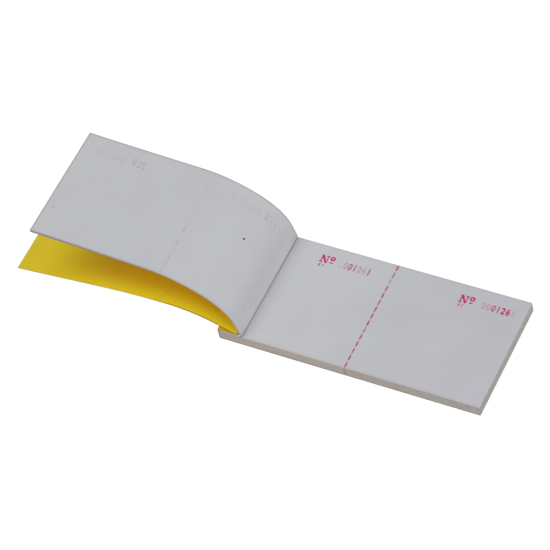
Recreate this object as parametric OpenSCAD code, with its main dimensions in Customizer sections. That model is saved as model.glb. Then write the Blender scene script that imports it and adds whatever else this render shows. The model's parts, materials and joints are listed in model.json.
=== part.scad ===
// Sales ticket pad lying half opened: perforated leaves bound in a wrap-round card cover,
// with the cover and the first leaves turned back over the spine.
// Millimetres. +X runs from the spine to the free end, +Z is up, the pad lies on Z = 0.

/* [Pad] */
// Length of a leaf, from the spine to its free end
leaf_len = 150; // [130:1:170]
// Width of a leaf, along the spine
leaf_w = 70; // [60:1:85]
// Bound margin, from the spine to the line where the leaves turn
margin_len = 13; // [11:0.5:16]
// Counterfoil, from the line where the leaves turn to the perforation
counterfoil_len = 60.5; // [50:0.5:70]

/* [Paper] */
// Thickness of one leaf
leaf_t = 0.14; // [0.1:0.01:0.2]
// Air between two leaves
leaf_air = 0.01; // [0.01:0.005:0.03]
// Thickness of the cover card
card_t = 0.3; // [0.2:0.05:0.5]
// Adhesive on the spine
spine_glue_t = 0.3; // [0.1:0.05:0.6]
// Adhesive between the bound margin and the cover's binding strip
film_t = 0.06; // [0.04:0.01:0.12]

/* [Perforation] */
// Length of one slit
slit_len = 3.7; // [2.5:0.1:4.5]
// Paper tie left between two slits
tie_len = 1; // [0.6:0.1:1.5]
// Width of a slit
slit_w = 0.25; // [0.15:0.05:0.4]
// Torn gap between a tie and the loose ticket
tie_gap = 0.01; // [0.01:0.01:0.05]

/* [Turned leaves] */
// Angle of the first strip above the block
turn_first = 101.4; // [98:0.1:110]
// Bend from the first strip to the second, before easing
turn_step = 35.8; // [32:0.1:38]
// Easing of the bend along the counterfoil
turn_ease = 5.05; // [4.5:0.05:5.5]
// Angle of the turned tickets
turn_ticket = 176.5; // [172:0.5:178]
// Clearance at each end of a strip
strip_gap = 0.02; // [0.01:0.01:0.1]

/* [Cover] */
// Distance from the cover's crease back from the line where the leaves turn
crease_back = 2; // [1:0.5:4]
// Length of the cover's near strip, beside the crease
cover_near_len = 28; // [20:1:34]
// Length of the cover's middle strip
cover_mid_len = 36; // [28:1:42]
// How far the closed cover stops short of the leaves' free end
cover_short = 3; // [0:0.5:4]
// Angle of the near strip
cover_near_a = 159.5; // [156:0.5:168]
// Angle of the middle strip
cover_mid_a = 180.5; // [174:0.5:182]
// Angle of the far strip
cover_far_a = 186.5; // [182:0.5:187]
// Outside radius of the two folds at the spine
fold_r = 0.25; // [0.1:0.05:0.3]

/* [Staples] */
// Distance from the spine to the staples
staple_in = 6; // [4:0.5:7]
// Distance between the centres of the two staples
staple_spread = 36; // [26:1:40]
// Length of a staple's crown
crown_len = 12; // [9:0.5:14]
// Length of a clinched leg under the leaves
clinch_len = 4; // [2:0.5:4.5]
// Width of the staple wire
wire_w = 0.5; // [0.4:0.05:0.7]
// Thickness of the staple wire
wire_t = 0.4; // [0.3:0.05:0.5]
// Room around the wire in the leaves
wire_room = 0.05; // [0.03:0.01:0.1]

/* [Hidden] */
$fn = 48;
block_leaves = 44;
turned_leaves = 6;
turned_strips = 4;
pitch = leaf_t + leaf_air;
spine_x = -leaf_len / 2;
free_x = leaf_len / 2;
turn_x = spine_x + margin_len;
tear_x = turn_x + counterfoil_len;
ticket_len = free_x - tear_x;
crease_x = turn_x - crease_back;
back_x = spine_x - spine_glue_t - card_t;
block_top = card_t + block_leaves * pitch - leaf_air;
margin_top = block_top + turned_leaves * pitch;
strip_under = margin_top + film_t;
cover_top = strip_under + card_t;
pack_t = turned_leaves * pitch - leaf_air;
turn_z = block_top + (leaf_air + film_t) / 2 + pack_t;
fold = min(fold_r, card_t);
slit_pitch = slit_len + tie_len;
slits = floor((leaf_w + tie_len) / slit_pitch);
slit_y = -(slits * slit_pitch - tie_len) / 2;
paper = [0.86, 0.87, 0.89];
turned_paper = [0.82, 0.83, 0.85];
card = [0.8, 0.66, 0.13];
adhesive = [0.9, 0.88, 0.78];
wire = [0.62, 0.64, 0.66];

// Strips of the turned leaves: the counterfoil bends in equal strips, the ticket lies straight.
turn_lens = [for (k = [0:turned_strips]) k < turned_strips ? counterfoil_len / turned_strips : ticket_len];
turn_angles = [for (k = [0:turned_strips])
    k < turned_strips ? turn_first + turn_step * k - turn_ease * k * k : turn_ticket];
turn_start = [turn_x, 0, turn_z];

// Strips of the cover: it rises at the crease and droops towards its free end.
cover_far_len = free_x - cover_short - crease_x - cover_near_len - cover_mid_len;
cover_lens = [cover_near_len, cover_mid_len, cover_far_len];
cover_angles = [cover_near_a, cover_mid_a, cover_far_a];
cover_start = [crease_x, 0, cover_top];

function heading(a) = [cos(a), 0, sin(a)];
function chain(start, lens, angles, k) =
    k == 0 ? start : chain(start, lens, angles, k - 1) + lens[k - 1] * heading(angles[k - 1]);
function two(i) = str(i < 10 ? "0" : "", i);
function leaf_name(i) = str("leaf_", two(i));
function strip_name(k) = str("turned_counterfoils_", k + 1);
function cover_name(k) = str("front_cover_", k + 1);
function leaf_z(i) = card_t + (block_leaves - i) * pitch;

// One flat sheet between two X positions, lying on Z = z
module sheet(x0, x1, z) {
    translate([x0, -leaf_w / 2, z])
        cube([x1 - x0, leaf_w, leaf_t]);
}

// One staple, grown by r on every side for the room that it takes in the leaves
module staple(r) {
    leg_y = crown_len / 2 - wire_t;
    translate([-wire_w / 2 - r, -crown_len / 2 - r, margin_top - wire_t - r])
        cube([wire_w + 2 * r, crown_len + 2 * r, wire_t + 2 * r]);
    for (side = [0, 1])
        mirror([0, side, 0]) {
            translate([-wire_w / 2 - r, leg_y - r, card_t - r])
                cube([wire_w + 2 * r, wire_t + 2 * r, margin_top - card_t + 2 * r]);
            translate([-wire_w / 2 - r, leg_y - clinch_len - r, card_t - r])
                cube([wire_w + 2 * r, clinch_len + wire_t + 2 * r, wire_t + 2 * r]);
        }
}

module both_staples(r) {
    for (side = [-1, 1])
        translate([spine_x + staple_in, side * staple_spread / 2, 0])
            staple(r);
}

// Slits of the perforation through everything at the tear line
module slit_row(z) {
    for (s = [0:slits - 1])
        translate([tear_x - slit_w / 2, slit_y + s * slit_pitch, z - leaf_t])
            cube([slit_w, slit_len, 3 * leaf_t]);
}

// A leaf of the block: one sheet with its perforation, held by the staples
module block_leaf(i) {
    color(paper)
        difference() {
            sheet(spine_x, free_x, leaf_z(i));
            slit_row(leaf_z(i));
            both_staples(wire_room);
        }
}

// Counterfoil of the leaf on top, with the ties that hold its ticket
module top_counterfoil() {
    color(paper)
        difference() {
            sheet(spine_x, tear_x + slit_w / 2 - tie_gap, leaf_z(1));
            slit_row(leaf_z(1));
            both_staples(wire_room);
        }
}

// Ticket of the leaf on top, which tears off along the perforation
module top_ticket() {
    color(paper)
        sheet(tear_x + slit_w / 2, free_x, leaf_z(1));
}

// Bound margins of the turned leaves, which stay in the binding
module turned_margins() {
    color(turned_paper)
        difference() {
            for (j = [1:turned_leaves])
                sheet(spine_x, turn_x, leaf_z(1 - j));
            both_staples(wire_room);
        }
}

// One strip of all the turned leaves, at its place along the bend
module turned_strip(k) {
    color(turned_paper)
        translate(chain(turn_start, turn_lens, turn_angles, k))
            rotate([0, -turn_angles[k], 0])
                for (j = [0:turned_leaves - 1])
                    translate([strip_gap, -leaf_w / 2, j * pitch - pack_t])
                        cube([turn_lens[k] - 2 * strip_gap, leaf_w, leaf_t]);
}

module turned_tickets() {
    turned_strip(turned_strips);
}

// One strip of the turned-back cover
module cover_strip(k) {
    color(card)
        translate(chain(cover_start, cover_lens, cover_angles, k))
            rotate([0, -cover_angles[k], 0])
                translate([strip_gap, -leaf_w / 2, -card_t])
                    cube([cover_lens[k] - 2 * strip_gap, leaf_w, card_t]);
}

// Corner to take off a square edge so that it becomes round
module round_off() {
    difference() {
        square(fold);
        translate([fold, fold])
            circle(fold);
    }
}

// Back panel, spine and binding strip of the cover, folded from one card
module cover_wrap() {
    color(card)
        rotate([90, 0, 0])
            linear_extrude(leaf_w, center = true)
                difference() {
                    translate([back_x, 0])
                        square([free_x - back_x, cover_top]);
                    translate([back_x + card_t, card_t])
                        square([free_x - back_x, strip_under - card_t]);
                    translate([crease_x, card_t])
                        square([free_x - crease_x + card_t, cover_top]);
                    translate([back_x, 0])
                        round_off();
                    translate([back_x, cover_top])
                        mirror([0, 1])
                            round_off();
                }
}

// Adhesive on the spine and under the binding strip
module binding_glue() {
    color(adhesive)
        rotate([90, 0, 0])
            linear_extrude(leaf_w, center = true)
                difference() {
                    translate([spine_x - spine_glue_t, card_t])
                        square([crease_x - spine_x + spine_glue_t, strip_under - card_t]);
                    translate([spine_x, 0])
                        square([leaf_len, margin_top]);
                }
}

module staples() {
    color(wire)
        both_staples(0);
}

cover_wrap();
binding_glue();
staples();
turned_margins();
turned_tickets();
top_counterfoil();
top_ticket();
for (k = [0:2])
    cover_strip(k);
for (k = [0:turned_strips - 1])
    turned_strip(k);
for (i = [2:block_leaves])
    block_leaf(i);
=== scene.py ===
import json
import math
import random

import bmesh
import bpy
from mathutils import Matrix, Vector


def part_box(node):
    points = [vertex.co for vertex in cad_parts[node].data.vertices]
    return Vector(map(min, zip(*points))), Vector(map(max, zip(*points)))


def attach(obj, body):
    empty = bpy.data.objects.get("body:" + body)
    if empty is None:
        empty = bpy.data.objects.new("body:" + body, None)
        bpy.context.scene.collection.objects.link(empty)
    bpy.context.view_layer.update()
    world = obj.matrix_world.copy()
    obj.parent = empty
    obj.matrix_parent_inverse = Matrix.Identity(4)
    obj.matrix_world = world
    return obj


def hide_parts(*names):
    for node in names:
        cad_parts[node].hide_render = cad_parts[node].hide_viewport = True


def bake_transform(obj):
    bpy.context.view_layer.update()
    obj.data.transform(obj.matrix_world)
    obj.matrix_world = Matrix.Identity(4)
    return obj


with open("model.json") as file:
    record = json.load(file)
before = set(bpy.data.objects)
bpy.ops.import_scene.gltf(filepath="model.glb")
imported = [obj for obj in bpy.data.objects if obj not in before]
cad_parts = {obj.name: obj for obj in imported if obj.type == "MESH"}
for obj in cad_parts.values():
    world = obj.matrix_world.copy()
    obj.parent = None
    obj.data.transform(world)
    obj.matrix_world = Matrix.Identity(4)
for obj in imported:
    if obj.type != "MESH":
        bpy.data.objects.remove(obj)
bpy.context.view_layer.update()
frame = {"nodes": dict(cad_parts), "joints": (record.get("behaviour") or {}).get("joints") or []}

# A pad of perforated tickets: a block of leaves in a yellow card wrap, with its
# top leaves and its cover folded back. Lengths below are in millimetres unless
# a name says otherwise; MM turns them into the frame's metres.
MM = 0.001
rng = random.Random(11)
scene = bpy.context.scene
nodes = frame["nodes"]
joints = {j["name"]: j for j in frame["joints"]}


# --------------------------------------------------------------- measures

def span(node):
    """A CAD node's box in millimetres."""
    lo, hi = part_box(node)
    return lo / MM, hi / MM


def pivot(name):
    """Where a hinge's axis crosses the middle plane: (x, z) in millimetres."""
    p = joints[name]["pos_m"]
    return Vector((p[0], p[2])) / MM


top_lo, top_hi = span("top_counterfoil")
ticket_lo, _ = span("top_ticket")
second_lo, second_hi = span("leaf_02")
HALF_W = top_hi.y
SPINE_X = second_lo.x
FREE_X = second_hi.x
TOP_Z = top_hi.z
LEAF_T = top_hi.z - top_lo.z
PITCH = top_lo.z - second_lo.z
TEAR_X = (top_hi.x + ticket_lo.x) / 2
TURNED = 6
PACK_T = (TURNED - 1) * PITCH + LEAF_T
CARD_T = 0.3
CARD_HALF = span("front_cover_1")[1].y

turn = [pivot("leaf_turn")] + [pivot("leaf_bend_%d" % k) for k in range(1, 5)]
fold = [pivot("cover_turn"), pivot("cover_bend_1"), pivot("cover_bend_2")]
END_FACE = 1.2  # all corners of a strip's end lie this close to its farthest one


def strip_end(node, start):
    """End of the hinge-side face of a flat strip: its lowest far point."""
    corners = [v.co / MM for v in nodes[node].data.vertices]
    corners = [Vector((c.x, c.z)) for c in corners]
    far = max((p - start).length for p in corners)
    ends = [p for p in corners if (p - start).length > far - END_FACE]
    return min(ends, key=lambda p: p.y)


# ------------------------------------------------------------- rounded bends

def heading(angle):
    return Vector((math.cos(angle), math.sin(angle)))


class Bend:
    """A polyline in the XZ plane whose corners are rounded by touching arcs.

    A place on it is named by its distance along the straight polyline, so a
    mark keeps its place on the paper however the corners are rounded.
    """

    def __init__(self, points, reach):
        self.points = points
        self.dirs = []
        self.at_point = [0.0]
        for a, b in zip(points, points[1:]):
            d = b - a
            self.dirs.append(math.atan2(d.y, d.x))
            self.at_point.append(self.at_point[-1] + d.length)
        for k in range(1, len(self.dirs)):
            while self.dirs[k] < self.dirs[k - 1] - math.pi:
                self.dirs[k] += 2 * math.pi
        self.arcs = [(self.at_point[k] - r, self.at_point[k] + r, k, r)
                     for k, r in enumerate(reach, start=1)]
        self.length = self.at_point[-1]

    def at(self, s):
        """(point, direction angle) at distance s."""
        for s0, s1, k, r in self.arcs:
            if s0 < s < s1:
                a0, a1 = self.dirs[k - 1], self.dirs[k]
                delta = a1 - a0
                angle = a0 + delta * (s - s0) / (s1 - s0)
                start = self.points[k] - r * heading(a0)
                radius = r / math.tan(delta / 2)
                centre = start + radius * Vector((-math.sin(a0), math.cos(a0)))
                return centre + radius * Vector((math.sin(angle), -math.cos(angle))), angle
        for k, a in enumerate(self.dirs):
            if s <= self.at_point[k + 1] or k == len(self.dirs) - 1:
                return self.points[k] + (s - self.at_point[k]) * heading(a), a

    def place(self, s, y, off):
        """The point off millimetres to the right of the line at s, in metres."""
        p, a = self.at(s)
        return Vector((p.x + off * math.sin(a), y, p.y - off * math.cos(a))) * MM


LEAF_REACH = 0.3  # half length of the tight bend at the binding
LEAD = 0.9        # flat start of the turned leaves before that bend
HALF_STRIP = (turn[1] - turn[0]).length / 2
leaf_line = Bend([turn[0] - Vector((LEAD, 0))] + turn + [strip_end("turned_tickets", turn[-1])],
                 [LEAF_REACH] + [HALF_STRIP] * 4)
card_line = Bend(fold + [strip_end("front_cover_3", fold[-1])],
                 [(b - a).length / 2 for a, b in zip(fold, fold[1:])])
LAST = leaf_line.length


# ----------------------------------------------------------- material helpers

def shader(name):
    """A new node material: (material, its tree, its main shader)."""
    mat = bpy.data.materials.new(name)
    mat.use_nodes = True
    tree = mat.node_tree
    return mat, tree, tree.nodes["Principled BSDF"]


def add(tree, kind, **inputs):
    """A node with some of its input values set."""
    node = tree.nodes.new(kind)
    for key, value in inputs.items():
        node.inputs[key].default_value = value
    return node


def coords(tree, kind):
    return tree.nodes.new("ShaderNodeTexCoord").outputs[kind]


def axes(tree, vector):
    s = tree.nodes.new("ShaderNodeSeparateXYZ")
    tree.links.new(vector, s.inputs[0])
    return s.outputs


def noise(tree, where, scale, detail=3.0, rough=0.55, stretch=None):
    """A noise factor over a vector socket, scale in cycles per metre."""
    if stretch is not None:
        m = add(tree, "ShaderNodeMapping", Scale=stretch)
        tree.links.new(where, m.inputs["Vector"])
        where = m.outputs["Vector"]
    n = add(tree, "ShaderNodeTexNoise", Scale=scale, Detail=detail, Roughness=rough)
    tree.links.new(where, n.inputs["Vector"])
    return n.outputs["Fac"]


def ramp(tree, factor, stops):
    """A colour ramp with (position, colour) stops."""
    r = tree.nodes.new("ShaderNodeValToRGB")
    while len(r.color_ramp.elements) < len(stops):
        r.color_ramp.elements.new(0.5)
    for e, (pos, col) in zip(r.color_ramp.elements, stops):
        e.position = pos
        e.color = (*col, 1.0)
    tree.links.new(factor, r.inputs["Fac"])
    return r.outputs["Color"]


def blend_colour(tree, mode, factor, a, b):
    """Mixes two colours, each a tuple or a socket, by a number or a socket."""
    m = tree.nodes.new("ShaderNodeMix")
    m.data_type = "RGBA"
    m.blend_type = mode
    if isinstance(factor, float):
        m.inputs[0].default_value = factor
    else:
        tree.links.new(factor, m.inputs[0])
    for socket, value in ((m.inputs[6], a), (m.inputs[7], b)):
        if isinstance(value, tuple):
            socket.default_value = (*value, 1.0)
        else:
            tree.links.new(value, socket)
    return m.outputs[2]


def dyed(tree, mask, colour, dye):
    """A colour times a dye where a mask lets it."""
    return blend_colour(tree, "MULTIPLY", mask, colour, dye)


def maths(tree, op, a, b=None):
    m = tree.nodes.new("ShaderNodeMath")
    m.operation = op
    for socket, value in zip(m.inputs, (a, b)):
        if value is None:
            continue
        if isinstance(value, (int, float)):
            socket.default_value = value
        else:
            tree.links.new(value, socket)
    return m.outputs[0]


def times(tree, a, b):
    return maths(tree, "MULTIPLY", a, b)


def magnitude(tree, a):
    return maths(tree, "ABSOLUTE", a)


def mapped(tree, value, ends, smooth=False):
    """A Map Range node over a value; ends gives its inputs by name."""
    m = tree.nodes.new("ShaderNodeMapRange")
    if smooth:
        m.interpolation_type = "SMOOTHSTEP"
    for key, end in ends.items():
        m.inputs[key].default_value = end
    tree.links.new(value, m.inputs["Value"])
    return m.outputs["Result"]


def spread(tree, factor, low, high):
    """Maps a 0-1 factor to low-high."""
    return mapped(tree, factor, {"To Min": low, "To Max": high})


def ease(tree, value, start, end):
    """0 before start, 1 after end, smooth between; start may be the larger.

    The value is in metres, start and end are in millimetres.
    """
    ends = {"From Min": min(start, end) * MM, "From Max": max(start, end) * MM}
    if start > end:
        ends.update({"To Min": 1.0, "To Max": 0.0})
    return mapped(tree, value, ends, smooth=True)


def facing(tree, axis):
    """How far a face looks along an axis, either way."""
    geo = tree.nodes.new("ShaderNodeNewGeometry")
    return magnitude(tree, axes(tree, geo.outputs["True Normal"])[axis])


def bump(tree, bsdf, factor, strength, depth):
    b = add(tree, "ShaderNodeBump", Strength=strength, Distance=depth * MM)
    tree.links.new(factor, b.inputs["Height"])
    tree.links.new(b.outputs["Normal"], bsdf.inputs["Normal"])


def surface(tree, bsdf, colour, grain, rough, gloss, relief=None):
    """Links a colour; the grain varies the roughness and gives the relief."""
    tree.links.new(colour, bsdf.inputs["Base Color"])
    tree.links.new(spread(tree, grain, *rough), bsdf.inputs["Roughness"])
    bsdf.inputs["Specular IOR Level"].default_value = gloss
    if relief:
        bump(tree, bsdf, grain, *relief)


# ------------------------------------------------------------------- colours

# (roughness range, specular level, (bump strength, bump depth))
PAPER_FACE = ((0.72, 0.90), 0.25, (0.25, 0.03))
CARD_FACE = ((0.52, 0.70), 0.16, (0.22, 0.04))
GLUE_FACE = ((0.30, 0.50), 0.5, (0.4, 0.08))
INK_FACE = ((0.85, 0.60), 0.25)
CUT_ROUGH, CUT_GLOSS, CUT_RELIEF = 0.92, 0.15, (0.3, 0.04)
WHITE = (1.0, 1.0, 1.0)

# Sheets of the turned leaves lie side by side in UV space, UV_STEP metres apart,
# and so do the outer and the inner side of the cover, CARD_UV_STEP apart.
UV_STEP, UV_MID = 0.3, 0.1
CARD_UV_STEP = 0.5

# Paper, and what it is multiplied by at some places. A span says where along the
# leaf such a tint starts and where it is full, a width says the same across it.
# RIM_FRONT is the span of the rim on the front edge; the back edge has it all along.
SHEET = (0.520, 0.527, 0.553)
SHEET_DULL = (0.500, 0.503, 0.524)
SHEET_FIBRE = (0.955, 0.955, 0.958)
# painted light: how much brighter the first turned leaf's hidden face is, to throw bounce light on
# the cover
BOUNCE_GAIN = 1.55
TONED, TONED_WIDTH = (0.925, 0.920, 0.890), (33.2, 35.0)
# painted light: the turned leaves brighter near the hinge, against the shade there
ROOT_PAINTED_LIGHT, ROOT_SPAN, ROOT_WIDTH = (1.170, 1.150, 1.120), (12.0, 3.0), (34.0, 24.0)
# painted light: a faint brighter band along the turned leaves' bend
BOW_PAINTED_LIGHT, BOW_RISE, BOW_FALL = (1.032, 1.028, 1.020), (4.0, 10.0), (34.0, 18.0)
SHEET_RIM, RIM_WIDTH, RIM_FRONT = (0.80, 0.765, 0.69), (34.1, 34.8), (52.0, 125.0)
RIM_END_SPAN = (LAST - 1.0, LAST - 0.2)
SHEET_ROSE, ROSE_SPAN = (0.992, 0.968, 0.996), (TEAR_X, FREE_X)
# painted light: the sheet brighter towards the hinge, as the light falls there
STUB_PAINTED_LIGHT, STUB_SPAN = (1.055, 1.055, 1.055), (TEAR_X + 12.0, TEAR_X - 28.0)
# painted shade: the flat top leaf darker just beside the hinge
CREASE_PAINTED_SHADE, CREASE_SPAN = (0.80, 0.765, 0.755), (turn[0].x + 1.1, turn[0].x + 0.35)

# Cut edges of leaves. BASE_SPAN runs upwards, the streaks are noise scales by axis.
EDGE = (0.510, 0.466, 0.424)
EDGE_DARK = (0.374, 0.323, 0.287)
EDGE_LIGHT = (0.600, 0.551, 0.506)
EDGE_BLUSH = (1.02, 0.965, 0.955)
EDGE_INK, TICK_HALF, TICK_COVER = (0.36, 0.13, 0.17), 0.62, (0.10, 0.85)
EDGE_WARM = (0.922, 0.900, 0.805)
# painted shadow: the block's edges darker towards the floor
BASE_PAINTED_SHADOW, BASE_SPAN = (0.60, 0.61, 0.62), (1.6, 0.4)
# painted shade: the block's free end face darker and cooler than its other edges
END_PAINTED_SHADE, END_SPAN = (0.885, 0.910, 0.955), (FREE_X - 0.7, FREE_X - 0.3)
EDGE_STUB, EDGE_STUB_SPAN = (0.925, 0.945, 0.895), (SPINE_X + 16.0, SPINE_X + 7.0)
EDGE_BENT, EDGE_THIN, THIN_SPAN = (0.40, 0.37, 0.36), (0.225, 0.172, 0.158), (48.0, 85.0)
THIN_SHARE = 0.75
UV_STREAK = (60.0, 60.0, 60.0)
BLOCK_STREAK = (55.0, 55.0, 5200.0)
FLAT_STREAK = (60.0, 60.0, 5200.0)

# Cover card. The spans run along the flap from its crease, the widths across it.
# The FOLD values are painted shade on the binding strip, at the top of the wrap.
CARD = (0.745, 0.560, 0.010)
CARD_DEEP = (0.690, 0.500, 0.007)
CARD_FIBRE = (0.90, 0.89, 0.86)
# painted light: the flap brighter near its crease, where the leaves shade it
NEAR_PAINTED_LIGHT, NEAR_SPAN = (0.815, 0.582, 0.006), (105.0, 30.0)
# painted shade: the flap darker towards its free end
FAR_PAINTED_SHADE, FAR_SPAN = (0.655, 0.500, 0.018), (98.0, 130.0)
# painted shade: deeper orange where the leaves shade the flap's inner side
INNER_PAINTED_SHADE, INNER_SPAN, INNER_WIDTH = (0.990, 0.745, 0.43), (116.0, 74.0), (33.5, 23.5)
# painted shadow: a dark line along the flap's front edge near the crease
RIM_PAINTED_SHADOW, CARD_RIM_WIDTH = (0.30, 0.28, 0.40), (0.55, 0.20)
CARD_RIM_FALL, CARD_RIM_RISE = (58.0, 34.0), (9.0, 12.0)
# painted shade: the card's cut edges dark as edges in shade, more orange by the crease
CUT_PAINTED_SHADE = (0.060, 0.042, 0.008)
CUT_ROOT_PAINTED_SHADE, CUT_ROOT_SPAN = (0.150, 0.042, 0.001), (13.0, 10.0)
FOLD_PAINTED_SHADE, FOLD_WIDTH, FOLD_DEPTH = (0.95, 0.88, 0.92), (34.8, 32.5), 0.5

INK = (0.475, 0.025, 0.138)
INK_FADE, INK_HOLD = 0.16, 0.10  # how soft the borders of missed ink are
WIRE_DARK, WIRE_LIGHT, WIRE_ROUGH = (0.42, 0.42, 0.43), (0.60, 0.60, 0.61), (0.25, 0.42)
WIRE_STREAK = (2500.0, 300.0, 2500.0)
# the glue is partly its own brown, partly painted shade: dark so its line at the spine reads as a
# shaded edge
GLUE_DARK, GLUE_LIGHT = (0.070, 0.056, 0.034), (0.120, 0.098, 0.062)
FACES_UP, FACES_SIDE = 0.5, 0.7  # least share of a normal along z, and along y


# ---------------------------------------------------------------- materials

def toned(tree, colour, across):
    """Slight yellowing of a sheet towards its long edges; across is y in metres."""
    return dyed(tree, ease(tree, magnitude(tree, across), *TONED_WIDTH), colour, TONED)


def sheet_colour(tree, where, gain=1.0):
    """Uncoated paper: slow cloudiness with fine fibres over it."""
    cloud = noise(tree, where, scale=38.0, detail=3.0)
    dull, clean = (tuple(gain * c for c in tone) for tone in (SHEET_DULL, SHEET))
    base = ramp(tree, cloud, [(0.30, dull), (0.72, clean)])
    fibre = noise(tree, where, scale=1500.0, detail=5.0, rough=0.7)
    tint = ramp(tree, fibre, [(0.30, SHEET_FIBRE), (0.70, WHITE)])
    return dyed(tree, 1.0, base, tint), fibre


def edge_colour(tree, where, streaks):
    """Cut edges of leaves: fine streaks that run with the leaves."""
    streak = noise(tree, where, scale=1.0, detail=4.0, rough=0.75, stretch=streaks)
    colour = ramp(tree, streak, [(0.32, EDGE_DARK), (0.52, EDGE), (0.80, EDGE_LIGHT)])
    blush = noise(tree, where, scale=90.0, detail=2.0)
    return dyed(tree, 1.0, colour, ramp(tree, blush, [(0.42, WHITE), (0.66, EDGE_BLUSH)]))


def paper(name, kind, gain=1.0):
    """Sheet paper; over UV the turned leaves get painted light at root and bow, and a darker rim.
    """
    mat, tree, bsdf = shader(name)
    where = coords(tree, kind)
    colour, fibre = sheet_colour(tree, where, gain)
    along, across, _ = axes(tree, where)
    if kind == "UV":
        across = maths(tree, "SUBTRACT", maths(tree, "MODULO", across, UV_STEP), UV_MID)
        off_middle = magnitude(tree, across)
        # painted light near the hinge and along the bend
        root = times(tree, ease(tree, off_middle, *ROOT_WIDTH), ease(tree, along, *ROOT_SPAN))
        colour = dyed(tree, root, colour, ROOT_PAINTED_LIGHT)
        bow = times(tree, ease(tree, along, *BOW_RISE), ease(tree, along, *BOW_FALL))
        colour = dyed(tree, bow, colour, BOW_PAINTED_LIGHT)
        at_back = maths(tree, "GREATER_THAN", across, 0.0)
        # darker along the leaves' long edges and at their free end
        rim_reach = maths(tree, "MAXIMUM", ease(tree, along, *RIM_FRONT), at_back)
        side_rim = times(tree, rim_reach, ease(tree, off_middle, *RIM_WIDTH))
        rim = maths(tree, "MAXIMUM", ease(tree, along, *RIM_END_SPAN), side_rim)
        colour = dyed(tree, rim, colour, SHEET_RIM)
    surface(tree, bsdf, toned(tree, colour, across), fibre, *PAPER_FACE)
    return mat


def cut_paper(name, kind, streaks, on_block):
    """Cut edges: of the block, tinted by place, with painted shade at the base and on the
    free end and with the perforation's ink showing, or of the few turned leaves, which
    are paler where they bend."""
    mat, tree, bsdf = shader(name)
    where = coords(tree, kind)
    colour = edge_colour(tree, where, streaks)
    x, _, z = axes(tree, where)
    if on_block:
        away = magnitude(tree, maths(tree, "SUBTRACT", x, TEAR_X * MM))
        tick = maths(tree, "LESS_THAN", away, TICK_HALF * MM)
        patch = spread(tree, noise(tree, where, scale=700.0, detail=2.0), *TICK_COVER)
        colour = blend_colour(tree, "MIX", times(tree, tick, patch), colour, EDGE_INK)
        to_spine = mapped(tree, x, {"From Min": FREE_X * MM, "From Max": SPINE_X * MM})
        colour = dyed(tree, to_spine, colour, EDGE_WARM)
        # painted shadow at the base of the block
        colour = dyed(tree, ease(tree, z, *BASE_SPAN), colour, BASE_PAINTED_SHADOW)
        # painted shade on the free end face
        colour = dyed(tree, ease(tree, x, *END_SPAN), colour, END_PAINTED_SHADE)
        colour = dyed(tree, ease(tree, x, *EDGE_STUB_SPAN), colour, EDGE_STUB)
    else:
        thin = blend_colour(tree, "MIX", ease(tree, x, *THIN_SPAN), EDGE_BENT, EDGE_THIN)
        colour = blend_colour(tree, "MIX", THIN_SHARE, colour, thin)
    tree.links.new(colour, bsdf.inputs["Base Color"])
    bsdf.inputs["Roughness"].default_value = CUT_ROUGH
    bsdf.inputs["Specular IOR Level"].default_value = CUT_GLOSS
    bump(tree, bsdf, noise(tree, where, scale=2200.0, detail=2.0), *CUT_RELIEF)
    return mat


def flat_paper(name):
    """Paper for the flat CAD leaves: faces up and down are sheet, the rest is cut edge."""
    mat, tree, bsdf = shader(name)
    where = coords(tree, "Object")
    colour, fibre = sheet_colour(tree, where)
    x, y, _ = axes(tree, where)
    colour = toned(tree, colour, y)
    colour = dyed(tree, ease(tree, x, *ROSE_SPAN), colour, SHEET_ROSE)
    # painted light towards the hinge
    colour = dyed(tree, ease(tree, x, *STUB_SPAN), colour, STUB_PAINTED_LIGHT)
    # painted shade just beside the hinge
    colour = dyed(tree, ease(tree, x, *CREASE_SPAN), colour, CREASE_PAINTED_SHADE)
    side = maths(tree, "LESS_THAN", facing(tree, 2), FACES_UP)
    colour = blend_colour(tree, "MIX", side, colour, edge_colour(tree, where, FLAT_STREAK))
    surface(tree, bsdf, colour, fibre, *PAPER_FACE)
    return mat


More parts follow.
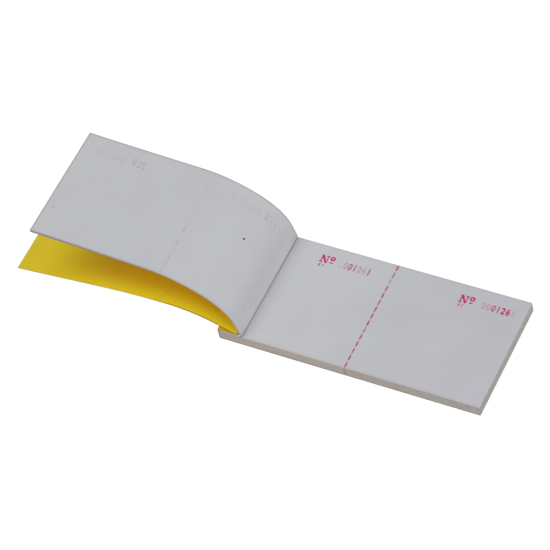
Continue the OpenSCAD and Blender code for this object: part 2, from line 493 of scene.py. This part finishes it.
def card(name, kind):
    """Coloured cover card: mottled dye, a slight calender sheen, cut edges painted dark as in
    shade.

    On the flap, which has UVs, the inner side has painted light near the crease, painted
    shade towards the free end, a deeper orange painted shade under the leaves and a painted
    shadow line along the front edge near the crease. On the wrap the binding strip has
    painted shade under the flap.
    """
    mat, tree, bsdf = shader(name)
    where = coords(tree, kind)
    cloud = noise(tree, where, scale=70.0, detail=4.0)
    base = ramp(tree, cloud, [(0.28, CARD_DEEP), (0.70, CARD)])
    cut_shade = CUT_PAINTED_SHADE
    if kind == "UV":
        along, across, _ = axes(tree, where)
        inner = maths(tree, "GREATER_THAN", across, CARD_UV_STEP / 2)
        width = maths(tree, "MODULO", across, CARD_UV_STEP)
        off_middle = magnitude(tree, maths(tree, "SUBTRACT", width, CARD_HALF * MM))
        at_root = ease(tree, along, *CUT_ROOT_SPAN)
        cut_shade = blend_colour(tree, "MIX", at_root, CUT_PAINTED_SHADE, CUT_ROOT_PAINTED_SHADE)
        # painted light and shade on the flap's inner side
        for mode, dye, *places in (
                ("MIX", NEAR_PAINTED_LIGHT, (along, NEAR_SPAN)),
                ("MIX", FAR_PAINTED_SHADE, (along, FAR_SPAN)),
                ("MULTIPLY", INNER_PAINTED_SHADE, (off_middle, INNER_WIDTH), (along, INNER_SPAN)),
                ("MULTIPLY", RIM_PAINTED_SHADOW, (width, CARD_RIM_WIDTH), (along, CARD_RIM_FALL),
                 (along, CARD_RIM_RISE))):
            mask = inner
            for value, ends in places:
                mask = times(tree, mask, ease(tree, value, *ends))
            base = blend_colour(tree, mode, mask, base, dye)
    else:
        _, y, z = axes(tree, where)
        # painted shade on the binding strip under the flap, away from its edges
        on_top = maths(tree, "GREATER_THAN", z, (fold[0].y - FOLD_DEPTH) * MM)
        strip = times(tree, ease(tree, magnitude(tree, y), *FOLD_WIDTH), on_top)
        base = dyed(tree, strip, base, FOLD_PAINTED_SHADE)
    fibre = noise(tree, where, scale=1100.0, detail=5.0, rough=0.7)
    colour = dyed(tree, 1.0, base, ramp(tree, fibre, [(0.28, CARD_FIBRE), (0.66, WHITE)]))
    # the cut edges get painted shade
    cut = maths(tree, "GREATER_THAN", facing(tree, 1), FACES_SIDE)
    colour = blend_colour(tree, "MIX", cut, colour, cut_shade)
    surface(tree, bsdf, colour, fibre, *CARD_FACE)
    return mat


def mixed(colour, share):
    """A share of a colour in that of the sheet."""
    return tuple(c * share + p * (1 - share) for c, p in zip(colour, SHEET))


def ink(name, colour, cover):
    """Stamped ink that misses the paper in places; cover is how much of it took."""
    mat, tree, bsdf = shader(name)
    patch = noise(tree, coords(tree, "Object"), scale=620.0, detail=4.0, rough=0.7)
    edge = 1.0 - cover
    took = ramp(tree, patch, [(max(edge - INK_FADE, 0.0), SHEET), (edge + INK_HOLD, colour)])
    surface(tree, bsdf, took, patch, *INK_FACE)
    return mat


def wire_material():
    """Drawn steel wire."""
    mat, tree, bsdf = shader("staple_wire_steel")
    draw = noise(tree, coords(tree, "Object"), scale=1.0, detail=3.0, rough=0.6,
                 stretch=WIRE_STREAK)
    colour = ramp(tree, draw, [(0.35, WIRE_DARK), (0.65, WIRE_LIGHT)])
    tree.links.new(colour, bsdf.inputs["Base Color"])
    bsdf.inputs["Metallic"].default_value = 1.0
    tree.links.new(spread(tree, draw, *WIRE_ROUGH), bsdf.inputs["Roughness"])
    return mat


def glue_material():
    """Dried adhesive where it shows in the gaps, its own brown darkened as painted shade along the
    spine.
    """
    mat, tree, bsdf = shader("binding_glue_dry")
    lumps = noise(tree, coords(tree, "Object"), scale=600.0, detail=3.0)
    colour = ramp(tree, lumps, [(0.3, GLUE_DARK), (0.7, GLUE_LIGHT)])
    surface(tree, bsdf, colour, lumps, *GLUE_FACE)
    return mat


SHEET_UV = paper("paper_sheet", "UV")
SHEET_BOUNCE_BRIGHT = paper("paper_sheet_bounce_bright", "UV", BOUNCE_GAIN)
EDGE_UV = cut_paper("paper_cut_edge", "UV", UV_STREAK, on_block=False)
BLOCK_EDGE = cut_paper("paper_block_edge", "Object", BLOCK_STREAK, on_block=True)
BLOCK_SHEET = paper("paper_block_sheet", "Object")
FLAT = flat_paper("paper_flat_leaf")
CARD_UV = card("cover_card_flap", "UV")
CARD_OBJ = card("cover_card_wrap", "Object")
INKS = [ink("ink_full", INK, 0.74),
        ink("ink_part", mixed(INK, 0.84), 0.64),
        ink("ink_thin", mixed(INK, 0.52), 0.54),
        ink("ink_trace", mixed(INK, 0.22), 0.46)]
GHOST = ink("ink_ghost", mixed((0.34, 0.22, 0.34), 0.29), 0.50)
GHOST_SPOT = ink("ink_ghost_spot", mixed((0.34, 0.14, 0.25), 0.66), 0.45)
GHOST_LINE = ink("ink_ghost_line", mixed((0.22, 0.16, 0.20), 0.58), 0.58)
GHOST_DASH = ink("ink_ghost_dash", mixed((0.26, 0.17, 0.23), 0.36), 0.52)
DIRT = ink("speck_dirt", (0.045, 0.030, 0.035), 0.85)
DIRT_PALE = ink("speck_pale", mixed((0.20, 0.14, 0.18), 0.6), 0.75)
DIRT_CARD = ink("speck_on_card", (0.25, 0.13, 0.004), 0.95)


# ------------------------------------------------------------------- meshes

SMOOTH_BELOW = 40.0  # degrees
FACE, CUT_EDGE, BOUNCE_FACE = 0, 1, 2  # material slots of a slab


def make(name, verts, faces, mats, picks=None, uvs=None, smooth_below=None):
    """A mesh object in the frame's metres; picks gives each face's material."""
    mesh = bpy.data.meshes.new(name)
    mesh.from_pydata([tuple(v) for v in verts], [], faces)
    for m in mats:
        mesh.materials.append(m)
    if picks:
        mesh.polygons.foreach_set("material_index", picks)
    if uvs:
        layer = mesh.uv_layers.new(name="paper")
        for loop in mesh.loops:
            layer.data[loop.index].uv = uvs[loop.vertex_index]
    if smooth_below is not None:
        mesh.shade_smooth()
        mesh.set_sharp_from_angle(angle=math.radians(smooth_below))
    mesh.update()
    obj = bpy.data.objects.new(name, mesh)
    scene.collection.objects.link(obj)
    return obj


def slab(verts, faces, picks, uvs, rows, cols, point, uv):
    """Adds a closed thin sheet. point(i, j, side) gives its two faces' grids."""
    base = len(verts)
    for side in (0, 1):
        for i in range(rows):
            for j in range(cols):
                verts.append(point(i, j, side))
                uvs.append(uv(i, j, side))

    def at(i, j, side):
        return base + side * rows * cols + i * cols + j

    for i in range(rows - 1):
        for j in range(cols - 1):
            faces.append((at(i, j, 0), at(i, j + 1, 0), at(i + 1, j + 1, 0), at(i + 1, j, 0)))
            faces.append((at(i, j, 1), at(i + 1, j, 1), at(i + 1, j + 1, 1), at(i, j + 1, 1)))
            picks += [FACE, FACE]
    for i in range(rows - 1):
        for j, flip in ((0, False), (cols - 1, True)):
            quad = (at(i, j, 0), at(i + 1, j, 0), at(i + 1, j, 1), at(i, j, 1))
            faces.append(quad[::-1] if flip else quad)
            picks.append(CUT_EDGE)
    for j in range(cols - 1):
        for i, flip in ((0, True), (rows - 1, False)):
            quad = (at(i, j, 0), at(i, j + 1, 0), at(i, j + 1, 1), at(i, j, 1))
            faces.append(quad[::-1] if flip else quad)
            picks.append(CUT_EDGE)


def steps(s0, s1, count):
    """Equal steps from s0 to s1, with both ends."""
    return [s0 + (s1 - s0) * i / count for i in range(count + 1)]


def carry(piece, a, b, arc, line):
    """Rides a piece on one body; a piece across the hinge between two is left where it lies, its
    transform baked.
    """
    if b is None:
        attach(piece, a)
    else:
        tuple(line.place(arc[0], 0, 0))
        tuple(line.place(arc[1], 0, 0))
        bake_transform(piece)


# ------------------------------------------------------------ turned leaves

SLIP, SLIP_SKEW, SLIP_END = 0.14, 0.0016, (-0.35, 0.25)
leaf_slip = [(rng.uniform(-SLIP, SLIP), rng.uniform(-SLIP_SKEW, SLIP_SKEW),
              rng.uniform(*SLIP_END)) for _ in range(TURNED)]
LEAF_COLS = 15
LEAD_STEPS, CREASE_STEPS, RISE_STEPS, BEND_STEPS, END_STEPS = 3, 10, 24, 30, 40
RIPPLE, RIPPLE_FROM, RIPPLE_RISE = 0.22, 30.0, 40.0
WAVE_S, WAVE_Y = 17.0, 26.0    # millimetres per radian of the wave along the leaf
CROSS_S, CROSS_Y = 41.0, 19.0  # and of the wave across it
FAN, FAN_LEN = 0.55, 55.0
SAME_PLACE = 1e-6


def ripple(s, y):
    """A slow undulation of the turned leaves, towards their hollow side."""
    grow = min(max((s - RIPPLE_FROM) / RIPPLE_RISE, 0.0), 1.0)
    along = 0.5 + 0.5 * math.sin(s / WAVE_S + y / WAVE_Y)
    across = 0.5 + 0.5 * math.cos(y / CROSS_Y - s / CROSS_S)
    return -RIPPLE * grow * along * across


def packet(s, off):
    """An offset in the packet of leaves, which opens a little at the free end."""
    f = min(max((s - LAST + FAN_LEN) / FAN_LEN, 0.0), 1.0)
    return PACK_T - (PACK_T - off) * (1.0 + FAN * f * f * (3.0 - 2.0 * f))


def on_leaf(s, y, off):
    """A point of the turned leaves, off millimetres into the packet."""
    return leaf_line.place(s, y, packet(s, off) + ripple(s, y))


def turned_piece(name, rows):
    """All turned leaves along one stretch; the free ends slip past each other.

    The first leaf's outer face is paper painted brighter, to throw more light on the cover below.
    """
    verts, faces, picks, uvs = [], [], [], []
    at_end = abs(rows[-1] - LAST) < SAME_PLACE
    for k, (shift, skew, extra) in enumerate(leaf_slip):
        longer = extra if at_end else 0.0
        ss = [s + longer * (s - rows[0]) / (rows[-1] - rows[0]) for s in rows]
        offs = (k * PITCH, k * PITCH + LEAF_T)

        def across(j):
            return -HALF_W + 2 * HALF_W * j / (LEAF_COLS - 1)

        def point(i, j, side):
            y = across(j) + shift + skew * (ss[i] - LEAD)
            return on_leaf(ss[i], y, offs[side])

        def uv(i, j, side):
            return (ss[i] * MM, across(j) * MM + UV_MID + UV_STEP * k)

        slab(verts, faces, picks, uvs, len(ss), LEAF_COLS, point, uv)
        if k == 0:
            # the first leaf's outer face gets the brighter paper, painted to throw bounce light on
            # the cover
            one_face = (len(ss) - 1) * (LEAF_COLS - 1)
            picks[:2 * one_face:2] = [BOUNCE_FACE] * one_face
    return make(name, verts, faces, [SHEET_UV, EDGE_UV, SHEET_BOUNCE_BRIGHT], picks, uvs, SMOOTH_BELOW)


# Stretches of the turned leaves, one bend in each: name, rows, the bodies before
# and after the bend, the bend and the CAD node that the stretch stands for.
bends = leaf_line.arcs
cuts = [leaf_line.at_point[k] + HALF_STRIP for k in range(1, 6)]
crease_0, crease_1, *_ = bends[0]
root_rows = (steps(0.0, crease_0, LEAD_STEPS)[:-1] + steps(crease_0, crease_1, CREASE_STEPS)[:-1]
             + steps(crease_1, cuts[0], RISE_STEPS))
turned_bodies = ["turned_%d" % k for k in range(1, 5)] + ["turned_tickets"]
leaf_spans = [("turned_leaves_root", root_rows, "pad", "turned_1", bends[0], None)]
for k, letter in enumerate("abcd"):
    leaf_spans.append(("turned_leaves_" + letter, steps(cuts[k], cuts[k + 1], BEND_STEPS),
                       turned_bodies[k], turned_bodies[k + 1], bends[k + 1],
                       "turned_counterfoils_%d" % (k + 1)))
leaf_spans.append(("turned_leaves_end", steps(cuts[-1], LAST, END_STEPS),
                   "turned_tickets", None, None, "turned_tickets"))

for name, rows, a, b, arc, node in leaf_spans:
    piece = turned_piece(name, rows)
    carry(piece, a, b, arc, leaf_line)
    if node:
        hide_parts(node)

# ------------------------------------------------------------- folded cover

CARD_COLS = 13
CREASE_GAP = 0.03
SEAM_PAST = 2.0
FLAP_STEPS, FLAP_END_STEPS = 40, 30


def card_piece(name, s0, s1, count):
    """A stretch of the cover's flap."""
    verts, faces, picks, uvs = [], [], [], []
    ss = steps(s0, s1, count)

    def point(i, j, side):
        y = -CARD_HALF + 2 * CARD_HALF * j / (CARD_COLS - 1)
        return card_line.place(ss[i], y, CARD_T * side)

    def uv(i, j, side):
        return (ss[i] * MM, 2 * CARD_HALF * j / (CARD_COLS - 1) * MM + CARD_UV_STEP * side)

    slab(verts, faces, picks, uvs, len(ss), CARD_COLS, point, uv)
    return make(name, verts, faces, [CARD_UV, CARD_UV], picks, uvs, SMOOTH_BELOW)


c1, c2 = card_line.arcs
seam_1 = (c1[1] + c2[0]) / 2
seam_2 = c2[1] + SEAM_PAST
card_spans = [
    ("cover_flap_near", CREASE_GAP, seam_1, FLAP_STEPS,
     "cover_near", "cover_middle", c1, ("front_cover_1",)),
    ("cover_flap_middle", seam_1, seam_2, FLAP_STEPS,
     "cover_middle", "cover_far", c2, ("front_cover_2",)),
    ("cover_flap_far", seam_2, card_line.length, FLAP_END_STEPS,
     "cover_far", None, None, ("front_cover_3",)),
]
for name, s0, s1, count, a, b, arc, held in card_spans:
    piece = card_piece(name, s0, s1, count)
    carry(piece, a, b, arc, card_line)
    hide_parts(*held)

# -------------------------------------------------------------- leaf block

PLAIN = [n for n in sorted(nodes) if n.startswith("leaf_") and n != "leaf_02"]
BLOCK_ROWS, BLOCK_COLS = 9, 5
DRIFT_KEPT, DRIFT_X, DRIFT_Y = 0.75, 0.07, 0.05
JITTER_X, JITTER_Y, JITTER_SKEW = 0.06, 0.04, 0.0010
BLOCK_UV = (0.15, 0.07)


def block_piece():
    """The block's leaves below the top two, with slightly uneven edges."""
    verts, faces, picks, uvs = [], [], [], []
    drift_x, drift_y = 0.0, 0.0
    for n in PLAIN:
        lo, hi = span(n)
        drift_x = DRIFT_KEPT * drift_x + rng.uniform(-DRIFT_X, DRIFT_X)
        drift_y = DRIFT_KEPT * drift_y + rng.uniform(-DRIFT_Y, DRIFT_Y)
        x1 = hi.x + drift_x + rng.uniform(-JITTER_X, JITTER_X)
        y_off = drift_y + rng.uniform(-JITTER_Y, JITTER_Y)
        skew = rng.uniform(-JITTER_SKEW, JITTER_SKEW)

        def point(i, j, side):
            x = lo.x + (x1 - lo.x) * i / (BLOCK_ROWS - 1)
            y = lo.y + (hi.y - lo.y) * j / (BLOCK_COLS - 1) + y_off + skew * (x - lo.x)
            return Vector((x, y, (hi.z if side == 0 else lo.z))) * MM

        def uv(i, j, side):
            return (i / (BLOCK_ROWS - 1) * BLOCK_UV[0], j / (BLOCK_COLS - 1) * BLOCK_UV[1])

        slab(verts, faces, picks, uvs, BLOCK_ROWS, BLOCK_COLS, point, uv)
    return make("block_leaves", verts, faces, [BLOCK_SHEET, BLOCK_EDGE], picks, uvs)


block = block_piece()
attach(block, "pad")
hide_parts(*PLAIN)

# ------------------------------------------------------------ CAD materials

dress = [(n, FLAT) for n in ("top_counterfoil", "top_ticket", "leaf_02", "turned_margins")]
dress += [("cover_wrap", CARD_OBJ), ("staples", wire_material()), ("binding_glue", glue_material())]
for n, m in dress:
    for s in nodes[n].material_slots:
        s.material = m

# ------------------------------------------------------------------ printing
# A mark is (corners, faces, ink weight, middle x), drawn flat in the closed pad's x and y.

INK_LIFT = 0.012
# The air over the second leaf is thinner than the lift, so its print starts lower.
NEXT_SINK = 0.6
NEXT_Z = second_hi.z - INK_LIFT * NEXT_SINK
GLYPH_CUT = 0.45
GLYPH_ROUND = 4

# Strokes of the N in the numero sign, and the two marks below it: weight, corners.
NUMERO_STROKES = (
    (0, ((-1.90, 0.65), (-1.20, 0.65), (-1.20, 3.04), (-1.90, 4.0))),
    (0, ((1.30, 1.18), (1.95, 0.0), (1.95, 4.25), (1.30, 4.25))),
    (0, ((1.00, 0.0), (1.95, 0.0), (-0.75, 4.9), (-2.55, 4.9))),
    (0, ((-2.65, 0.0), (-0.50, 0.0), (-0.50, 0.65), (-2.65, 0.65))),
    (0, ((0.60, 4.25), (2.75, 4.25), (2.75, 4.9), (0.60, 4.9))),
    (1, ((-1.75, -2.8), (-1.00, -2.8), (-0.70, -0.9), (-1.65, -0.9))),
    (1, ((0.25, -2.4), (0.90, -2.4), (1.15, -0.9), (0.40, -0.9))),
)
NUMERO_DROP = 0.2
RING_X, RING_Y, RING_H = 4.5, 2.0, 3.0
BAR_X, BAR_STEP, BAR_PARTS, BAR_YS = 3.5, 0.4, 5, (0.45, 1.15)
DIGIT_X, DIGIT_DROP, DIGIT_PITCH, DIGIT_H = 11.6, 0.6, 2.75, 4.4
RING_CUT = {"height": RING_H, "squeeze": 0.95, "bold": 0.044}
DIGIT_CUT = {"height": DIGIT_H, "squeeze": 0.80, "bold": 0.034}

SERIAL, STUB_WEIGHTS, TICKET_WEIGHTS = "0001261", [3, 2, 1, 1, 2, 2, 1], [2, 2, 1, 1, 0, 0, 2]
NEXT_SERIAL, NEXT_WEIGHTS = "0001262", [1, 1, 0, 0, 1, 0, 0]
TURNED_SERIAL, TURNED_WEIGHTS = "0001255", [1] * 7
STUB_MARK, STUB_TUCK = (-41.2, 24.0), 1.7
TICKET_MARK = (40.2, 23.6)
TURNED_MARK = (38.5, 22.9)
_glyphs = {}


def glyph(char, height, squeeze, bold):
    """(corners, faces) of a character drawn flat, centred on its width.

    It is cut into narrow strips, so that it can follow a bend.
    """
    key = (char, height, squeeze, bold)
    if key in _glyphs:
        return _glyphs[key]
    curve = bpy.data.curves.new("glyph", "FONT")
    curve.body = char
    curve.offset = bold
    curve.resolution_u = GLYPH_ROUND
    holder = bpy.data.objects.new("glyph", curve)
    scene.collection.objects.link(holder)
    bpy.context.view_layer.update()
    depsgraph = bpy.context.evaluated_depsgraph_get()
    mesh = bpy.data.meshes.new_from_object(holder.evaluated_get(depsgraph))
    bpy.data.objects.remove(holder)
    bpy.data.curves.remove(curve)
    xs = [v.co.x for v in mesh.vertices]
    ys = [v.co.y for v in mesh.vertices]
    scale = height / (max(ys) - min(ys))
    mid = (max(xs) + min(xs)) / 2
    low = min(ys)
    bm = bmesh.new()
    bm.from_mesh(mesh)
    bpy.data.meshes.remove(mesh)
    for v in bm.verts:
        v.co = Vector(((v.co.x - mid) * scale * squeeze, (v.co.y - low) * scale, 0.0))
    width = max(v.co.x for v in bm.verts)
    cut = -width + GLYPH_CUT
    while cut < width:
        bmesh.ops.bisect_plane(bm, geom=bm.verts[:] + bm.edges[:] + bm.faces[:],
                               plane_co=(cut, 0, 0), plane_no=(1, 0, 0))
        cut += GLYPH_CUT
    bm.verts.index_update()
    _glyphs[key] = ([(v.co.x, v.co.y) for v in bm.verts],
                    [tuple(v.index for v in f.verts) for f in bm.faces])
    bm.free()
    return _glyphs[key]


def number_marks(x, y, serial, weights, tuck=0.0):
    """The marks of the numero sign and of a serial number."""
    marks = []

    def put(char, at_x, at_y, cut, weight):
        corners, faces = glyph(char, **cut)
        marks.append(([(at_x + a, at_y + b) for a, b in corners], faces, weight, at_x))

    for weight, corners in NUMERO_STROKES:
        marks.append(([(x + a, y - NUMERO_DROP + b) for a, b in corners],
                      [tuple(range(len(corners)))], weight, x))
    put("o", x + RING_X, y + RING_Y, RING_CUT, 0)
    bar = [(x + BAR_X + BAR_STEP * i, y + b) for b in BAR_YS for i in range(BAR_PARTS + 1)]
    quads = [(i, i + 1, i + BAR_PARTS + 2, i + BAR_PARTS + 1) for i in range(BAR_PARTS)]
    marks.append((bar, quads, 0, x + RING_X))
    for i, c in enumerate(serial):
        put(c, x + DIGIT_X - tuck + DIGIT_PITCH * i, y - DIGIT_DROP, DIGIT_CUT, weights[i])
    return marks


def flat_print(name, marks, z, body):
    """Print that lies flat at height z, in the inks of its weights."""
    verts, faces, picks = [], [], []
    for corners, polys, weight, _ in marks:
        base = len(verts)
        verts += [Vector((x, y, z + INK_LIFT)) * MM for x, y in corners]
        faces += [tuple(base + i for i in f) for f in polys]
        picks += [weight] * len(polys)
    piece = make(name, verts, faces, INKS, picks)
    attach(piece, body)


def curved_print(name, marks, off, mats):
    """Print on the turned leaves: each mark goes with the stretch it lies on."""
    def along(x):
        return x - turn[0].x + LEAD

    groups = {}
    for corners, polys, weight, mid in marks:
        for n, (_, rows, *_rest) in enumerate(leaf_spans):
            if rows[0] <= along(mid) < rows[-1]:
                groups.setdefault(n, []).append((corners, polys, weight))
    for n, items in sorted(groups.items()):
        verts, faces, picks = [], [], []
        for corners, polys, weight in items:
            base = len(verts)
            verts += [on_leaf(along(x), y, off) for x, y in corners]
            faces += [tuple(base + i for i in (f if off < 0 else f[::-1])) for f in polys]
            picks += [min(weight, len(mats) - 1)] * len(polys)
        piece = make("%s_%d" % (name, n + 1), verts, faces, mats, picks)
        _, _, a, b, arc, _ = leaf_spans[n]
        carry(piece, a, b, arc, leaf_line)


PRINTED_SIDE = -INK_LIFT
BACK_SIDE = PACK_T + INK_LIFT

flat_print("number_counterfoil", number_marks(*STUB_MARK, SERIAL, STUB_WEIGHTS, STUB_TUCK),
           TOP_Z, "pad")
flat_print("number_ticket", number_marks(*TICKET_MARK, SERIAL, TICKET_WEIGHTS),
           TOP_Z, "top_ticket")
flat_print("number_next_ticket", number_marks(*TICKET_MARK, NEXT_SERIAL, NEXT_WEIGHTS),
           NEXT_Z, "pad")
turned_marks = (number_marks(*STUB_MARK, TURNED_SERIAL, TURNED_WEIGHTS, STUB_TUCK)
                + number_marks(*TURNED_MARK, TURNED_SERIAL, TURNED_WEIGHTS))
curved_print("turned_number", turned_marks, PRINTED_SIDE, INKS)
curved_print("turned_show_through", turned_marks, BACK_SIDE, [GHOST_SPOT, GHOST])

# Perforation dashes: ink that the cutting rule left beside each slit.
SLITS = 15
SLIT, TIE, SLIT_W = 3.7, 1.0, 0.25
slit_y = [-(SLITS * (SLIT + TIE) - TIE) / 2 + k * (SLIT + TIE) for k in range(SLITS)]
DASH_STEPS = 9
DASH_LEFT, DASH_RIGHT, DASH_SHORT = 0.38, 0.36, 0.25
DASH_SWELL, DASH_RAGGED, DASH_TIP = 0.45, 0.14, 0.04
DASH_WEIGHTS = (0, 0, 1, 0, 0, 1, 0, 0, 0, 1, 0, 0, 2, 1, 0)
TIE_INSET, TIE_LEFT, TIE_RIGHT, TIE_STRONG = 0.12, 0.9, 0.38, 14


def dash(y0, y1, x0, x1):
    """A ragged strip of ink: points along its inner and outer sides."""
    inner, outer = [], []
    for i in range(DASH_STEPS + 1):
        f = i / DASH_STEPS
        y = y0 + (y1 - y0) * f
        bulge = math.sin(math.pi * min(max(f, DASH_TIP), 1.0 - DASH_TIP))
        swell = 1.0 - DASH_SWELL + DASH_SWELL * bulge + rng.uniform(-DASH_RAGGED, DASH_RAGGED)
        inner.append((x0, y))
        outer.append((x0 + (x1 - x0) * swell, y))
    quads = [(i, i + 1, i + DASH_STEPS + 2, i + DASH_STEPS + 1) for i in range(DASH_STEPS)]
    return inner + outer, quads


def tie_marks():
    """Weak ink on the paper ties between the slits."""
    marks = []
    for y in slit_y[:-1]:
        y0, y1 = y + SLIT + TIE_INSET, y + SLIT + TIE - TIE_INSET
        x0, x1 = TEAR_X - SLIT_W * TIE_LEFT, TEAR_X + SLIT_W * TIE_RIGHT
        weight = 1 if abs(y) < TIE_STRONG else 2
        marks.append(([(x0, y0), (x1, y0), (x1, y1), (x0, y1)], [(0, 1, 2, 3)], weight, TEAR_X))
    return marks


def dash_marks(side, width):
    """The dashes on one side of the slits."""
    marks = []
    x0 = TEAR_X + side * SLIT_W / 2
    for y, weight in zip(slit_y, DASH_WEIGHTS):
        y0 = y + rng.uniform(0.0, DASH_SHORT)
        y1 = y + SLIT - rng.uniform(0.0, DASH_SHORT)
        corners, faces = dash(y0, y1, x0, x0 + side * width)
        if side > 0:
            faces = [f[::-1] for f in faces]
        marks.append((corners, faces, weight, TEAR_X))
    return marks


left_dashes = dash_marks(-1, DASH_LEFT) + tie_marks()
right_dashes = dash_marks(1, DASH_RIGHT)
next_dashes = [(c, f, max(w, 1), m) for c, f, w, m in right_dashes]
flat_print("perforation_ink_counterfoil", left_dashes, TOP_Z, "pad")
flat_print("perforation_ink_ticket", right_dashes, TOP_Z, "top_ticket")
flat_print("perforation_ink_next", next_dashes, NEXT_Z, "pad")
curved_print("turned_perforation_ink", left_dashes + right_dashes, PRINTED_SIDE, INKS)

# Their show-through is narrower and lies a little askew.
SHOW_WEIGHTS = (0, 0, 0, 1, 0, 2, 0, 1, 2, 1, 2, 1, 1, 2, 1)
SHOW_NARROW, SHOW_SHIFT, SHOW_SKEW = 0.6, -0.40, 0.014


def show_place(x, y):
    return (x * SHOW_NARROW + TEAR_X * (1.0 - SHOW_NARROW) + SHOW_SHIFT + SHOW_SKEW * y, y)


show_dashes = [([show_place(x, y) for x, y in c], f, w, m)
               for dashes in (left_dashes[:SLITS], right_dashes)
               for (c, f, _, m), w in zip(dashes, SHOW_WEIGHTS)]
curved_print("turned_perforation_show", show_dashes, BACK_SIDE, [GHOST_LINE, GHOST_DASH, GHOST])

# Specks of dirt on the turned leaf and on the cover's inside: place and radius.
LEAF_SPECK = (turn[0].x + 30.5, 7.0, 0.62)
PALE_SPECK = (turn[0].x + 132.5, -16.5, 0.55)
CARD_SPECK = (44.6, -27.5, 0.42)
SPECK_CORNERS, SPECK_UNEVEN = 11, (0.75, 1.15)


def speck(x, y, radius):
    """The mark of an irregular dot."""
    corners = []
    for i in range(SPECK_CORNERS):
        a = 2 * math.pi * i / SPECK_CORNERS
        r = radius * rng.uniform(*SPECK_UNEVEN)
        corners.append((x + r * math.cos(a), y + r * math.sin(a)))
    return corners, [tuple(range(SPECK_CORNERS))], 0, x


curved_print("turned_speck", [speck(*LEAF_SPECK)], BACK_SIDE, [DIRT])
curved_print("turned_speck_pale", [speck(*PALE_SPECK)], BACK_SIDE, [DIRT_PALE])

corners, faces, _, _ = speck(*CARD_SPECK)
piece = make("cover_speck", [card_line.place(s, y, CARD_T + INK_LIFT) for s, y in corners],
             [f[::-1] for f in faces], [DIRT_CARD])
_, _, _, _, a, b, arc, _ = card_spans[1]
carry(piece, a, b, arc, card_line)

# -------------------------------------------------------------------- stage
# Lengths of the stage are in metres.

FLOOR_HALF, FLOOR_Z = 14.0, -0.0002
FLOOR_DARK, FLOOR_LIGHT = (0.065, 0.065, 0.065), (0.075, 0.075, 0.075)
FLOOR_ROUGH, FLOOR_GLOW = 0.9, 0.975
WORLD_GLOW = 0.50
floor_mat, tree, bsdf = shader("floor_white")
soft = ramp(tree, noise(tree, coords(tree, "Object"), scale=3.0),
            [(0.3, FLOOR_DARK), (0.7, FLOOR_LIGHT)])
tree.links.new(soft, bsdf.inputs["Base Color"])
bsdf.inputs["Roughness"].default_value = FLOOR_ROUGH
bsdf.inputs["Emission Color"].default_value = (*WHITE, 1.0)
bsdf.inputs["Emission Strength"].default_value = FLOOR_GLOW
floor = make("floor", [(x * FLOOR_HALF, y * FLOOR_HALF, FLOOR_Z)
                       for x, y in ((-1, -1), (1, -1), (1, 1), (-1, 1))],
             [(0, 1, 2, 3)], [floor_mat])

world = bpy.data.worlds.new("studio")
scene.world = world
world.use_nodes = True
background = world.node_tree.nodes["Background"]
background.inputs["Color"].default_value = (*WHITE, 1.0)
background.inputs["Strength"].default_value = WORLD_GLOW


def softbox(name, place, aim, size, power):
    """A rectangular lamp that looks at a point; power in watts."""
    data = bpy.data.lights.new(name, "AREA")
    data.shape = "RECTANGLE"
    data.size, data.size_y = size
    data.energy = power
    lamp = bpy.data.objects.new(name, data)
    scene.collection.objects.link(lamp)
    lamp.location = place
    lamp.rotation_euler = (Vector(aim) - Vector(place)).to_track_quat("-Z", "Y").to_euler()


LIT = (-0.06, 0.0, 0.0)
softbox("soft_key", place=(-0.52, -0.32, 1.66), aim=LIT, size=(0.6, 1.6), power=14.5)
softbox("soft_side", place=(1.35, -0.35, 0.55), aim=LIT, size=(0.8, 0.8), power=6.5)

# Camera: the photograph's viewing angle, found from the pad's own corners.
AZIMUTH, ELEVATION, ROLL = math.radians(37.45), math.radians(51.76), math.radians(-14.97)
AIM = Vector((-65.44, 12.16, 0.0)) * MM
FAR = 1624.9 * MM
FOCAL_PX, PHOTO_PX, SENSOR_W = 3035.0, 550.0, 36.0
CLIP_NEAR, CLIP_FAR = 0.05, 30.0
back = Vector((math.sin(AZIMUTH) * math.cos(ELEVATION),
               -math.cos(AZIMUTH) * math.cos(ELEVATION), math.sin(ELEVATION)))
right = Vector((math.cos(AZIMUTH), math.sin(AZIMUTH), 0.0))
up = back.cross(right)
cam_x = math.cos(ROLL) * right + math.sin(ROLL) * up
cam_y = -math.sin(ROLL) * right + math.cos(ROLL) * up
lens = bpy.data.cameras.new("photo_camera")
lens.sensor_width = SENSOR_W
lens.lens = FOCAL_PX / PHOTO_PX * SENSOR_W
lens.clip_start, lens.clip_end = CLIP_NEAR, CLIP_FAR
camera = bpy.data.objects.new("photo_camera", lens)
scene.collection.objects.link(camera)
turn_to = Matrix((cam_x, cam_y, back)).transposed().to_4x4()
camera.matrix_world = Matrix.Translation(AIM + FAR * back) @ turn_to
scene.camera = camera
scene.view_settings.view_transform = "Standard"
